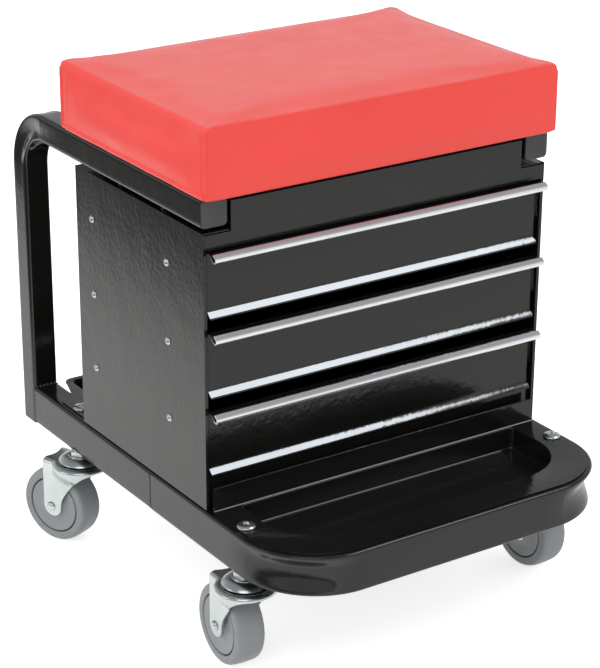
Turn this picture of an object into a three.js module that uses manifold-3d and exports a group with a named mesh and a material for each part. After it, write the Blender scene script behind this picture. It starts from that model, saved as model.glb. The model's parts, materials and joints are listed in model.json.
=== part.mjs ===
// Mechanic's rolling seat with a three-drawer tool chest, tool trays and four swivel casters.
// Millimetres, +Z up. Origin: on the floor, under the middle of the frame.
// The drawers open towards -Y (the front); left is -X. A constant ending in _X is a half width
// or a distance from the middle plane, unless its comment says otherwise.
import * as THREE from "three";
import Module from "manifold-3d";
import { mergeVertices } from "three/addons/utils/BufferGeometryUtils.js";

const wasm = await Module();
wasm.setup();

// ---- driving dimensions ----
const GAP = 0.3; // clearance between neighbouring pieces
const SHEET = 1.0; // sheet metal of the cabinet and drawers

const TUBE = 25.4; // square tube of the arms and posts, and the width of the base tube
const TUBE_WALL = 1.5;
const FRAME_X = 181; // outer side of both side frames
const FRAME_INNER_X = FRAME_X - TUBE;
const TUBE_X = FRAME_X - TUBE / 2; // middle of the tubes
const FRAME_FRONT = -238.5;
const FRAME_BACK = 238.5;
const BASE_BOTTOM = 101;
const BASE_TOP = BASE_BOTTOM + 38;
const ARM_BOTTOM = 397;
const ARM_TOP = ARM_BOTTOM + TUBE;
const SEAM_Y = -10.5; // where the bumper tube meets the side rails

const CABINET_X = 180;
const CABINET_FRONT = -107;
const CABINET_BACK = 114;
const CABINET_BOTTOM = 141;
const CABINET_TOP = 393;
const ARM_FRONT = CABINET_FRONT + 2.5;

const SEAT_BOTTOM = 425.6;
const SEAT_BOLT_Y = { front: -24, rear: 50 };
const SEAT_BOLT_HOLE_R = 3.5;

const FRONT_CASTER = { x: TUBE_X, y: -151.3 };
const REAR_CASTER = { x: 170.5, y: 141 };
const TRAY_SCREW_X = 167.3;
const TRAY_SCREW_Y = { front: -151, rear: 142 };
const TRAY_SCREW_HOLE_R = 3.4;

// ---- shape helpers ----
// closed solid from a geometry, turned outside out if its faces point inwards
function solid(source) {
  const flat = source.index ? source.toNonIndexed() : source;
  const bare = new THREE.BufferGeometry().setAttribute("position", flat.getAttribute("position"));
  const merged = mergeVertices(bare, 1e-4);
  const triVerts = new Uint32Array(merged.index.array);
  const vertProperties = merged.attributes.position.array;
  const make = () => new wasm.Manifold(new wasm.Mesh({ numProp: 3, vertProperties, triVerts }));
  const result = make();
  if (result.volume() >= 0) return result;
  for (let i = 0; i < triVerts.length; i += 3) {
    [triVerts[i + 1], triVerts[i + 2]] = [triVerts[i + 2], triVerts[i + 1]];
  }
  return make();
}

function geometry(shape) {
  const { numVert, numProp, vertProperties, triVerts } = shape.getMesh();
  const positions = new Float32Array(numVert * 3);
  for (let i = 0; i < numVert; i++) {
    positions.set(vertProperties.subarray(i * numProp, i * numProp + 3), i * 3);
  }
  const flat = new THREE.BufferGeometry()
    .setAttribute("position", new THREE.BufferAttribute(positions, 3))
    .setIndex(new THREE.BufferAttribute(triVerts, 1))
    .toNonIndexed();
  flat.computeVertexNormals();
  return flat;
}

const mirrorX = (shape) => shape.mirror([1, 0, 0]);
const bothSides = (shape) => shape.add(mirrorX(shape));

function box(x0, x1, y0, y1, z0, z1) {
  const block = new THREE.BoxGeometry(x1 - x0, y1 - y0, z1 - z0);
  return solid(block.translate((x0 + x1) / 2, (y0 + y1) / 2, (z0 + z1) / 2));
}
const boxPair = (...limits) => bothSides(box(...limits));
const wideBox = (halfX, ...limits) => box(-halfX, halfX, ...limits);
// a box within the width of the right-hand tube, inset in x and z
const tubeBox = (inset, y0, y1, z0, z1) =>
  box(FRAME_INNER_X + inset, FRAME_X - inset, y0, y1, z0 + inset, z1 - inset);

function extrude(points, depth) {
  const outline = new THREE.Shape(points.map(([a, b]) => new THREE.Vector2(a, b)));
  return new THREE.ExtrudeGeometry(outline, { depth, bevelEnabled: false, steps: 1 });
}
// polygon in (x, y), drawn along z
const prismZ = (points, z0, z1) => solid(extrude(points, z1 - z0).translate(0, 0, z0));
// polygon in (y, z), drawn along x
function prismX(points, x0, x1) {
  const turn = new THREE.Matrix4().set(0, 0, 1, x0, 1, 0, 0, 0, 0, 1, 0, 0, 0, 0, 0, 1);
  return solid(extrude(points, x1 - x0).applyMatrix4(turn));
}
// polygon in (x, z), drawn along y
function prismY(points, y0, y1) {
  const turn = new THREE.Matrix4().set(1, 0, 0, 0, 0, 0, -1, y1, 0, 1, 0, 0, 0, 0, 0, 1);
  return solid(extrude(points, y1 - y0).applyMatrix4(turn));
}

const cylinder = (radius, length, segments) =>
  new THREE.CylinderGeometry(radius, radius, length, segments);
const cylX = (y, z, radius, x0, x1, segments) =>
  solid(cylinder(radius, x1 - x0, segments).rotateZ(Math.PI / 2).translate((x0 + x1) / 2, y, z));
const cylY = (x, z, radius, y0, y1, segments) =>
  solid(cylinder(radius, y1 - y0, segments).translate(x, (y0 + y1) / 2, z));
const cylZ = (x, y, radius, z0, z1, segments = 16) =>
  solid(cylinder(radius, z1 - z0, segments).rotateX(Math.PI / 2).translate(x, y, (z0 + z1) / 2));

// profile of [radius, height], turned about the y axis
const turned = (profile, segments) =>
  new THREE.LatheGeometry(profile.map(([radius, h]) => new THREE.Vector2(radius, h)), segments);
const latheZ = (profile, segments) => solid(turned(profile, segments).rotateX(Math.PI / 2));

// an arc's points from one angle to another, in degrees
function arc(centreX, centreY, radius, from, to, steps = 8) {
  return Array.from({ length: steps + 1 }, (_, i) => {
    const angle = THREE.MathUtils.degToRad(from + ((to - from) * i) / steps);
    return [centreX + radius * Math.cos(angle), centreY + radius * Math.sin(angle)];
  });
}
// the right half of an outline, closed by its mirror image in x
const symmetric = (half) => [...half, ...half.map(([x, y]) => [-x, y]).reverse()];
// rectangle with one corner radius at low y and another at high y
const roundRect = (halfX, y0, y1, lowRadius, highRadius, steps) =>
  symmetric([
    ...arc(halfX - lowRadius, y0 + lowRadius, lowRadius, -90, 0, steps),
    ...arc(halfX - highRadius, y1 - highRadius, highRadius, 0, 90, steps),
  ]);

// ---- materials ----
const standard = (settings) => new THREE.MeshStandardMaterial(settings);
const BLACK = standard({ color: 0x17181a, roughness: 0.22, metalness: 0 });
const BLACK_PLASTIC = standard({ color: 0x2a2b2e, roughness: 0.5, metalness: 0 });
const VINYL = standard({ color: 0xd8231c, roughness: 0.4, metalness: 0 });
const BRIGHT = standard({ color: 0xd9dbde, roughness: 0.2, metalness: 1 });
const ZINC = standard({ color: 0xc3ccce, roughness: 0.3, metalness: 0.9 });
const RUBBER = standard({ color: 0x83898c, roughness: 0.6, metalness: 0 });
const CORE = standard({ color: 0x8b9295, roughness: 0.5, metalness: 0 });
const PLY = standard({ color: 0xa9834f, roughness: 0.8, metalness: 0 });
const STEEL = standard({ color: 0xb8bcc0, roughness: 0.35, metalness: 0.9 });

const creeper = new THREE.Group();
function piece(name, shape, material) {
  const mesh = new THREE.Mesh(geometry(shape), material);
  mesh.name = name;
  creeper.add(mesh);
}
// a right-hand piece and its mirror image on the left
function piecePair(name, shape, material) {
  piece(`${name}_left`, mirrorX(shape), material);
  piece(`${name}_right`, shape, material);
}

// ---- frame ----
const BEND_R = 60; // outer radius of the arm-to-post bend
const BUMPER_R = 72; // outer corner radius of the bumper tube
const STEM_HOLE_R = 5.5;

// Outlines of the frame: inset 0 is the outside of the tube, TUBE_WALL its hollow.
// The hollows run on past the open ends.
function armPostOutline(inset) {
  const bendY = FRAME_BACK - BEND_R;
  const bendZ = ARM_TOP - BEND_R;
  const front = inset ? CABINET_FRONT - 10 : ARM_FRONT;
  return [
    [front, ARM_BOTTOM + inset],
    ...arc(bendY, bendZ, BEND_R - TUBE + inset, 90, 0),
    [FRAME_BACK - TUBE + inset, BASE_BOTTOM + inset],
    [FRAME_BACK - inset, BASE_BOTTOM + inset],
    ...arc(bendY, bendZ, BEND_R - inset, 0, 90),
    [front, ARM_TOP - inset],
  ];
}
// the lower rail ends inside the post
function railOutline(inset) {
  const front = inset ? SEAM_Y - 5 : SEAM_Y;
  const back = FRAME_BACK - TUBE / 2;
  const bottom = BASE_BOTTOM + inset;
  const top = BASE_TOP - inset;
  return [[front, bottom], [back, bottom], [back, top], [front, top]];
}
function bumperOutline(inset) {
  const outer = FRAME_X - inset;
  const inner = FRAME_INNER_X + inset;
  const cornerX = FRAME_X - BUMPER_R;
  const cornerY = FRAME_FRONT + BUMPER_R;
  const back = inset ? SEAM_Y + 5 : SEAM_Y - GAP;
  return symmetric([
    ...arc(cornerX, cornerY, BUMPER_R - TUBE + inset, -90, 0),
    [inner, back],
    [outer, back],
    ...arc(cornerX, cornerY, BUMPER_R - inset, 0, -90, 10),
  ]);
}

// caster stem hole below and tray screw hole above, in the right-hand base tube
const baseHoles = (caster, screwY) =>
  cylZ(caster.x, caster.y, STEM_HOLE_R, BASE_BOTTOM - 2, BASE_BOTTOM + 5)
    .add(cylZ(TRAY_SCREW_X, screwY, TRAY_SCREW_HOLE_R, BASE_TOP - 5, BASE_TOP + 2));

function sideFrame() {
  const hollowX = [FRAME_INNER_X + TUBE_WALL, FRAME_X - TUBE_WALL];
  const seatPad = box(FRAME_INNER_X + 1, FRAME_X, -46, 72, ARM_TOP - 0.5, SEAT_BOTTOM - GAP);
  let frame = prismX(armPostOutline(0), FRAME_INNER_X, FRAME_X)
    .add(prismX(railOutline(0), FRAME_INNER_X, FRAME_X))
    .add(seatPad)
    .subtract(prismX(armPostOutline(TUBE_WALL), ...hollowX))
    .subtract(prismX(railOutline(TUBE_WALL), ...hollowX));
  for (const y of Object.values(SEAT_BOLT_Y)) {
    frame = frame.subtract(cylZ(TUBE_X, y, SEAT_BOLT_HOLE_R, ARM_BOTTOM - 5, ARM_TOP + 6));
  }
  return frame.subtract(baseHoles(REAR_CASTER, TRAY_SCREW_Y.rear));
}

// one U of the base tube across the front
const bumperTube = () =>
  prismZ(bumperOutline(0), BASE_BOTTOM, BASE_TOP)
    .subtract(prismZ(bumperOutline(TUBE_WALL), BASE_BOTTOM + TUBE_WALL, BASE_TOP - TUBE_WALL))
    .subtract(bothSides(baseHoles(FRONT_CASTER, TRAY_SCREW_Y.front)));

// sleeve inside the joint between bumper and side rail
function jointSleeve() {
  const inset = TUBE_WALL + GAP;
  const wall = 1.5;
  const reach = 45; // each way from the seam
  const bore = reach + 5;
  return tubeBox(inset, SEAM_Y - reach, SEAM_Y + reach, BASE_BOTTOM, BASE_TOP)
    .subtract(tubeBox(inset + wall, SEAM_Y - bore, SEAM_Y + bore, BASE_BOTTOM, BASE_TOP));
}

// plastic cap in the open front end of an arm: a flange and a hollow plug
function armCap() {
  const flange = 1.6;
  const front = ARM_FRONT - GAP - flange;
  return tubeBox(0.2, front, front + flange, ARM_BOTTOM, ARM_TOP)
    .add(tubeBox(1.9, front + 1.5, front + 16, ARM_BOTTOM, ARM_TOP))
    .subtract(tubeBox(4, front + 4, front + 18, ARM_BOTTOM, ARM_TOP));
}

piecePair("side_frame", sideFrame(), BLACK);
piece("bumper_tube", bumperTube(), BLACK);
piecePair("joint_sleeve", jointSleeve(), STEEL);
piecePair("arm_cap", armCap(), BLACK_PLASTIC);

// ---- trays ----
const TRAY_T = 1.2;
const TRAY_X = 175.5;
const RIM_BOTTOM = BASE_TOP + GAP;
const RIM_TOP = RIM_BOTTOM + TRAY_T;
const WELL_FLOOR = 119.5;

// flat rim with a sunken well; wellOutline(grow) gives the well grown by a sheet thickness
function tray(rim, wellOutline, screwY) {
  const hole = cylZ(TRAY_SCREW_X, screwY, TRAY_SCREW_HOLE_R, RIM_BOTTOM - 2, RIM_BOTTOM + 3);
  return prismZ(rim, RIM_BOTTOM, RIM_TOP)
    .add(prismZ(wellOutline(TRAY_T), WELL_FLOOR - TRAY_T, RIM_BOTTOM + 0.5))
    .subtract(prismZ(wellOutline(0), WELL_FLOOR, RIM_BOTTOM + 5))
    .subtract(bothSides(hole));
}

function frontTray() {
  const front = -234;
  const back = -111;
  const corner = 66;
  const upstandTop = 162.5;
  const rim = symmetric([
    ...arc(TRAY_X - corner, front + corner, corner, -90, 0, 9),
    [TRAY_X, back],
  ]);
  const well = (grow) => roundRect(150 + grow, -204.5 - grow, -115 + grow, 52 + grow, 3 + grow, 6);
  return tray(rim, well, TRAY_SCREW_Y.front)
    .add(wideBox(TRAY_X, back - TRAY_T, back, RIM_BOTTOM, upstandTop));
}

// the rim steps in behind the shoulders to a narrower tail
function rearTray() {
  const shoulder = { y: 176, radius: 12, stepX: 157 };
  const tail = { x: 151.5, y: 212, radius: 10 };
  const rim = symmetric([
    [TRAY_X, 118],
    ...arc(TRAY_X - shoulder.radius, shoulder.y - shoulder.radius, shoulder.radius, 0, 90, 4),
    [shoulder.stepX, shoulder.y],
    ...arc(tail.x - tail.radius, tail.y - tail.radius, tail.radius, 0, 90, 4),
  ]);
  const well = (grow) => roundRect(146 + grow, 124 - grow, 206.5 + grow, 3 + grow, 6 + grow, 4);
  return tray(rim, well, TRAY_SCREW_Y.rear);
}

// truss-head screw with a cross recess: [radius, height above the head's underside]
const TRAY_SCREW_PROFILE = [
  [0, 4.4], [3, 4.2], [6, 3], [8, 1.2], [8.6, 0], [3, 0], [3, -14], [0, -14],
];
function trayScrew(y) {
  const recess = wideBox(3.4, -0.7, 0.7, 2.6, 6).add(wideBox(0.7, -3.4, 3.4, 2.6, 6));
  return latheZ(TRAY_SCREW_PROFILE, 16)
    .subtract(recess)
    .translate([TRAY_SCREW_X, y, RIM_TOP + GAP]);
}

piece("front_tray", frontTray(), BLACK);
piece("rear_tray", rearTray(), BLACK);
for (const [end, y] of Object.entries(TRAY_SCREW_Y)) {
  piecePair(`tray_screw_${end}`, trayScrew(y), ZINC);
}

// ---- cabinet ----
const HEADER_BOTTOM = 378;
const DECK_X = 151; // raised middle of the cabinet top
const DECK_TOP = 418;
const CABINET_INNER_X = CABINET_X - SHEET - GAP; // outer limit of what fits inside
const DRAWER_PITCH = 72.2;
const SLIDE_Z = 350.4; // middle of the top drawer's slides
const RIVET_Y = [CABINET_FRONT + 60.5, CABINET_FRONT + 192];
const drawerDrop = (k) => -k * DRAWER_PITCH;

// sides, back, front lips and top flanges
function cabinetWrap() {
  const [front, back, bottom, top] = [CABINET_FRONT, CABINET_BACK, CABINET_BOTTOM, CABINET_TOP];
  const lip = 3;
  let wrap = boxPair(CABINET_X - SHEET, CABINET_X, front, back, bottom, top)
    .add(wideBox(CABINET_X, back - SHEET, back, bottom, top))
    .add(boxPair(CABINET_X - lip, CABINET_X, front, front + lip, bottom, HEADER_BOTTOM - GAP))
    .add(boxPair(DECK_X + 3, CABINET_X, front + 1.5, back, top - SHEET, top));
  for (const y of Object.values(SEAT_BOLT_Y)) {
    wrap = wrap.subtract(bothSides(cylZ(TUBE_X, y, SEAT_BOLT_HOLE_R, top - 4, top + 2)));
  }
  for (let k = 0; k < 3; k++) {
    for (const y of RIVET_Y) {
      const z = SLIDE_Z + drawerDrop(k);
      wrap = wrap.subtract(bothSides(cylX(y, z, 2.4, CABINET_X - 5, CABINET_X + 2, 10)));
    }
  }
  return wrap;
}

// floor sheet with an upstand along its front edge
function cabinetFloor() {
  const front = CABINET_FRONT + 4;
  return wideBox(178.6, front, CABINET_BACK - 1.4, CABINET_BOTTOM, CABINET_BOTTOM + SHEET)
    .add(wideBox(176.6, front, front + SHEET, CABINET_BOTTOM, 171));
}

// front plate above the drawers, with a shelf turned back along its lower edge
function cabinetHeader() {
  const shoulder = CABINET_TOP - 1.5;
  const face = symmetric([
    [CABINET_INNER_X, HEADER_BOTTOM],
    [CABINET_INNER_X, shoulder],
    [DECK_X + 2, shoulder],
    [DECK_X + 2, DECK_TOP],
  ]);
  const shelfBack = CABINET_FRONT + 14;
  return prismY(face, CABINET_FRONT, CABINET_FRONT + SHEET).add(
    wideBox(CABINET_INNER_X, CABINET_FRONT, shelfBack, HEADER_BOTTOM, HEADER_BOTTOM + SHEET),
  );
}

// raised cover between the arms, closed at the back
function cabinetTop() {
  const bottom = CABINET_TOP + GAP;
  const top = DECK_TOP - 0.5;
  const section = symmetric([
    [DECK_X - SHEET, top - SHEET],
    [DECK_X - SHEET, bottom],
    [DECK_X, bottom],
    [DECK_X, top],
  ]);
  const backPlate = wideBox(
    DECK_X - 0.5, CABINET_BACK - 1.2, CABINET_BACK - 0.2, bottom + 0.2, top - 0.5,
  );
  return prismY(section, CABINET_FRONT + SHEET + GAP, CABINET_BACK).add(backPlate);
}

piece("cabinet_wrap", cabinetWrap(), BLACK);
piece("cabinet_floor", cabinetFloor(), BLACK);
piece("cabinet_header", cabinetHeader(), BLACK);
piece("cabinet_top", cabinetTop(), BLACK);

// ---- drawers, drawn at the height of the top one ----
const FACE_FRONT = -103;
const FACE_BACK = FACE_FRONT + SHEET;
const FACE_X = 173.6;
const PULL_X = 175.6;
const DRAWER_BOTTOM = 322;

// [y, z]: flat face, drooping lip at the top, flared lip at the bottom
const FACE_SECTION = [
  [FACE_BACK, DRAWER_BOTTOM], [FACE_BACK, 376.6], [-107.9, 376.6], [-113.9, 372.9],
  [-113.4, 372.1], [-107.5, 375.6], [FACE_FRONT, 375.6], [FACE_FRONT, 322.4],
  [-108.9, 318.4], [-108.9, 316.4], [-107.9, 316.4], [-107.9, 317.9],
];
// [y, z]: hooked strip around the drooping lip, outside first, then back along the inside
const PULL_SECTION = [
  [-113.6, 377.6], [-115.6, 376.7], [-117.4, 375.0], [-118.3, 373.2], [-118.1, 371.4],
  [-116.9, 370.0], [-115.0, 369.4], [-113.0, 370.2], [-110.5, 372.5],
  [-111.0, 373.1], [-113.4, 371.0], [-115.0, 370.3], [-116.4, 370.8], [-117.3, 371.8],
  [-117.4, 373.1], [-116.7, 374.6], [-115.2, 376.0], [-113.3, 376.9],
];

// open box with a runner channel on each side
function drawerBox() {
  const halfX = 163;
  const front = FACE_BACK + GAP;
  const back = 96;
  const top = DRAWER_BOTTOM + 46;
  const runnerX = 176.3;
  const low = SLIDE_Z - 11.6;
  const high = SLIDE_Z + 11.6;
  const inside = wideBox(
    halfX - SHEET, front + SHEET, back - SHEET, DRAWER_BOTTOM + SHEET, top + 2,
  );
  const runnerPart = (x0, z0, z1) => boxPair(x0, runnerX, front + 4, back, z0, z1);
  return wideBox(halfX, front, back, DRAWER_BOTTOM, top)
    .subtract(inside)
    .add(runnerPart(halfX - 0.5, low, low + SHEET))
    .add(runnerPart(halfX - 0.5, high - SHEET, high))
    .add(runnerPart(runnerX - SHEET, low, high));
}

// rivet head: [radius, height above the cabinet side]
const RIVET_HEAD = [[0, 2.4], [2.4, 2.0], [4.0, 1.0], [4.4, GAP], [0, GAP]];

// cabinet slide channel with two rivets set through the side panel
function drawerSlide() {
  const low = SLIDE_Z - 13;
  const high = SLIDE_Z + 13;
  const innerX = 167.5;
  const part = (x0, z0, z1) =>
    box(x0, CABINET_INNER_X, CABINET_FRONT + 8, CABINET_BACK - 8, z0, z1);
  let slide = part(CABINET_INNER_X - 1, low, high)
    .add(part(innerX, low, low + 1))
    .add(part(innerX, high - 1, high));
  const head = latheZ(RIVET_HEAD, 12).rotate([0, 90, 0]);
  for (const y of RIVET_Y) {
    slide = slide
      .add(cylX(y, SLIDE_Z, 2.0, CABINET_INNER_X - 0.5, CABINET_X + 1, 10))
      .add(head.translate([CABINET_X, y, SLIDE_Z]));
  }
  return slide;
}

for (let k = 0; k < 3; k++) {
  const lowered = (shape) => shape.translate([0, 0, drawerDrop(k)]);
  const name = `drawer_${k + 1}`;
  piece(`${name}_front`, lowered(prismX(FACE_SECTION, -FACE_X, FACE_X)), BLACK);
  piece(`${name}_pull`, lowered(prismX(PULL_SECTION, -PULL_X, PULL_X)), BRIGHT);
  piece(`${name}_box`, lowered(drawerBox()), BLACK);
  piecePair(`${name}_slide`, lowered(drawerSlide()), STEEL);
}

// ---- seat ----
const SEAT = { x: 183, front: -117.5, back: 133, top: 488 };
const BOARD = { x: 168, front: -104, back: 118, top: SEAT_BOTTOM + 12 };

const seatBoard = () => wideBox(BOARD.x, BOARD.front, BOARD.back, SEAT_BOTTOM, BOARD.top);

// cushion with a stepped-in top and a recess for the board
function seatCushion() {
  const outline = (inset, radius) =>
    roundRect(SEAT.x - inset, SEAT.front + inset, SEAT.back - inset, radius, radius, 4);
  const recess = wideBox(
    BOARD.x + GAP, BOARD.front - GAP, BOARD.back + GAP, SEAT_BOTTOM - 2, BOARD.top + GAP,
  );
  return prismZ(outline(0, 4), SEAT_BOTTOM, SEAT.top - 5)
    .add(prismZ(outline(4, 3), SEAT.top - 8, SEAT.top))
    .subtract(recess);
}

// long bolt through the cabinet flange and the arm, up against the seat board
function seatBolt(x, y) {
  const headTop = CABINET_TOP - SHEET - GAP;
  return cylZ(x, y, 5.2, headTop - 4, headTop, 6)
    .add(cylZ(x, y, 2.9, headTop - 1, SEAT_BOTTOM - GAP, 12));
}

piece("seat_board", seatBoard(), PLY);
piece("seat_cushion", seatCushion(), VINYL);
for (const [side, x] of [["left", -TUBE_X], ["right", TUBE_X]]) {
  for (const [end, y] of Object.entries(SEAT_BOLT_Y)) {
    piece(`seat_bolt_${side}_${end}`, seatBolt(x, y), ZINC);
  }
}

// ---- casters, drawn about the king pin: the wheel trails along +x, the axle lies along y ----
const WHEEL_R = 37.5;
const WHEEL_HALF = 28.6 / 2; // half the wheel's width
const CORE_R = 27.5;
const TRAIL = 25.5;
const PIN_R = 4; // king pin and axle
const PIN_BORE_R = PIN_R + 0.06;
const CROWN_TOP = 87;
const CROWN_R = 28;
const SKIRT_BOTTOM = 81;
const FORK_T = 2.2;
const FORK_HALF = WHEEL_HALF + 0.5 + FORK_T; // middle to a cheek's outer face
const LEG_END = { x: 23.8, z: 38.6, radius: 10.3 }; // rounded end of each cheek

// [radius, z]: threaded stem, domed race plate, king pin and its head
const MOUNT_PROFILE = [
  [0, 124], [5, 124], [5, BASE_BOTTOM - GAP], [9, BASE_BOTTOM - GAP], [9, 94], [14.5, 93.4],
  [18.6, 91.4], [20.9, 88.9], [20.9, 88], [PIN_R, 88], [PIN_R, 82.2], [8, 82.2], [8, 80.2],
  [0, 80.2],
];
// [x, z]: swept leading edge of the cheeks, from the rounded ends up to the crown
const CHEEK_EDGE = [
  [13.2, 43], [11.6, 48], [8.8, 52.8], [5.2, 57.8], [1.4, 62.8], [-2.4, 67.6], [-6.4, 72],
  [-10.6, 76], [-15.2, 79], [-20, 80.8], [-36, 81.4],
];

// flat cheeks joined by a half round on the leading side, under a round skirted crown
function casterFork() {
  const { x, z, radius } = LEG_END;
  const back = x + radius;
  const bottom = z - radius;
  const plan = (half, end) => [[end, half], ...arc(-6, 0, half, 90, 270, 14), [end, -half]];
  const belowCheeks = [
    [back + 1, bottom - 6],
    [back + 1, z],
    ...arc(x, z, radius, 0, -180, 10),
    ...CHEEK_EDGE,
    [-36, bottom - 6],
  ];
  const crown = cylZ(0, 0, CROWN_R, SKIRT_BOTTOM, CROWN_TOP, 40)
    .subtract(cylZ(0, 0, CROWN_R - FORK_T, SKIRT_BOTTOM - 5, CROWN_TOP - FORK_T, 40));
  return prismZ(plan(FORK_HALF, back), bottom, CROWN_TOP)
    .subtract(prismZ(plan(FORK_HALF - FORK_T, back + 20), bottom - 5, CROWN_TOP - FORK_T))
    .subtract(prismY(belowCheeks, -40, 40))
    .add(crown)
    .subtract(cylZ(0, 0, PIN_BORE_R, 80, 95, 24))
    .subtract(cylY(TRAIL, WHEEL_R, PIN_BORE_R, -40, 40, 24));
}

// axle with a round head at -y and a hexagonal nut at +y
function casterAxle() {
  const seat = FORK_HALF + GAP;
  const part = (...size) => cylY(TRAIL, WHEEL_R, ...size);
  return part(PIN_R, -FORK_HALF - 1, FORK_HALF + 1, 16)
    .add(part(6.6, -seat - 4, -seat, 16))
    .add(part(6, seat, seat + 3.2, 6));
}

// half profile of [radius, y] from the middle outwards in y, mirrored and closed about the axle
function wheelPart(half, segments) {
  const lower = half.map(([radius, y]) => [radius, -y]);
  const profile = [...lower, ...half.toReversed(), lower[0]];
  return solid(turned(profile, segments).translate(TRAIL, 0, WHEEL_R));
}
const casterHub = () =>
  wheelPart([
    [PIN_BORE_R, WHEEL_HALF + 0.2],
    [11, WHEEL_HALF + 0.2],
    [11.5, WHEEL_HALF - 0.6],
    [CORE_R, WHEEL_HALF - 1],
  ], 24);
const casterTyre = () =>
  wheelPart([
    [CORE_R + GAP, WHEEL_HALF - 0.6],
    [32.5, WHEEL_HALF],
    [36, WHEEL_HALF - 2.2],
    [WHEEL_R, WHEEL_HALF - 6],
  ], 28);

const CASTER_PARTS = [
  ["mount", latheZ(MOUNT_PROFILE, 20), ZINC],
  ["fork", casterFork(), ZINC],
  ["axle", casterAxle(), ZINC],
  ["hub", casterHub(), CORE],
  ["tyre", casterTyre(), RUBBER],
];
// axleAngle: direction of the axle's nut end, degrees from +x; the rear pair mirror each other
const rearLeft = { x: -REAR_CASTER.x, y: REAR_CASTER.y, axleAngle: 202.5 };
const CASTERS = {
  front_left: { x: -FRONT_CASTER.x, y: FRONT_CASTER.y, axleAngle: 177.4 },
  front_right: { ...FRONT_CASTER, axleAngle: 182 },
  rear_left: rearLeft,
  rear_right: { ...rearLeft, mirrored: true },
};
for (const [corner, { x, y, axleAngle, mirrored }] of Object.entries(CASTERS)) {
  for (const [part, shape, material] of CASTER_PARTS) {
    const placed = shape.rotate([0, 0, axleAngle - 90]).translate([x, y, 0]);
    piece(`caster_${corner}_${part}`, mirrored ? mirrorX(placed) : placed, material);
  }
}

export default creeper;
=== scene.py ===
"""Rolling seat: a vinyl cushion on a bent tube frame, with a three-drawer cabinet below,
a tray at the front and the rear, and four swivel casters.

X runs to the right, Y to the rear and Z up; the floor is just below z = 0.
Lengths are in mm, except in materials, the cushion, lights and camera, which use metres.
"""
import json
import math

import bmesh
import bpy
import numpy as np
from mathutils import Matrix, Vector, noise

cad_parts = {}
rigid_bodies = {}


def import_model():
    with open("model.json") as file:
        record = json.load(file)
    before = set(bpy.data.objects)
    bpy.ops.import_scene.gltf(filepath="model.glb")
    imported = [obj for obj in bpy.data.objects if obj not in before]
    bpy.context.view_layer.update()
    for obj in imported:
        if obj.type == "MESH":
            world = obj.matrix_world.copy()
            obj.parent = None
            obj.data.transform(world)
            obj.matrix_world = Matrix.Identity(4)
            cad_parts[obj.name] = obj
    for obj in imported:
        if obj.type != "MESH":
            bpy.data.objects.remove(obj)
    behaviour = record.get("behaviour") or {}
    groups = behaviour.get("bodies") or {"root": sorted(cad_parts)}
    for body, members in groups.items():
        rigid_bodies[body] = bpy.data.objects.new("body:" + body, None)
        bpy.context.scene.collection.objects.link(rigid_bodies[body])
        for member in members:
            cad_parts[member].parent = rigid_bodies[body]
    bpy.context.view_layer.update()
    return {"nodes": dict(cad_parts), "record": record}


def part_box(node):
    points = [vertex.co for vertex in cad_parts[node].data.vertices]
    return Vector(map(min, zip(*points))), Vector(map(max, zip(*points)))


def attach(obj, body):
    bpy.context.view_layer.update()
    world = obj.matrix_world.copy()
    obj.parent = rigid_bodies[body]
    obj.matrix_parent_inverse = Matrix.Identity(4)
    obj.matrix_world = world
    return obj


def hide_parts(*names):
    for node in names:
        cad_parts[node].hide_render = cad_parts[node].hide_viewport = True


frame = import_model()
PIECES = frame["nodes"]
JOINTS = {joint["name"]: joint for joint in frame["record"]["behaviour"]["joints"]}
SCENE = bpy.context.scene
COLLECTION = SCENE.collection
ROOT = "seat_frame"
MM = 0.001
CORNERS = ("front_left", "front_right", "rear_left", "rear_right")
SCENE.view_settings.view_transform = "Standard"


# ---------------------------------------------------------------- node helpers
# sockets of a Mix node set to colour
MIX_A, MIX_B, MIX_RESULT = 6, 7, 2


class Nodes:
    """A node tree with short ways to add and link nodes."""

    def __init__(self, tree):
        self.tree = tree

    def node(self, kind, **values):
        """A new node; each value is an input, or else a property."""
        node = self.tree.nodes.new(kind)
        for key, value in values.items():
            socket = key.replace("_", " ")
            if socket in node.inputs:
                node.inputs[socket].default_value = value
            else:
                setattr(node, key, value)
        return node

    def link(self, output, socket):
        self.tree.links.new(output, socket)


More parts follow.
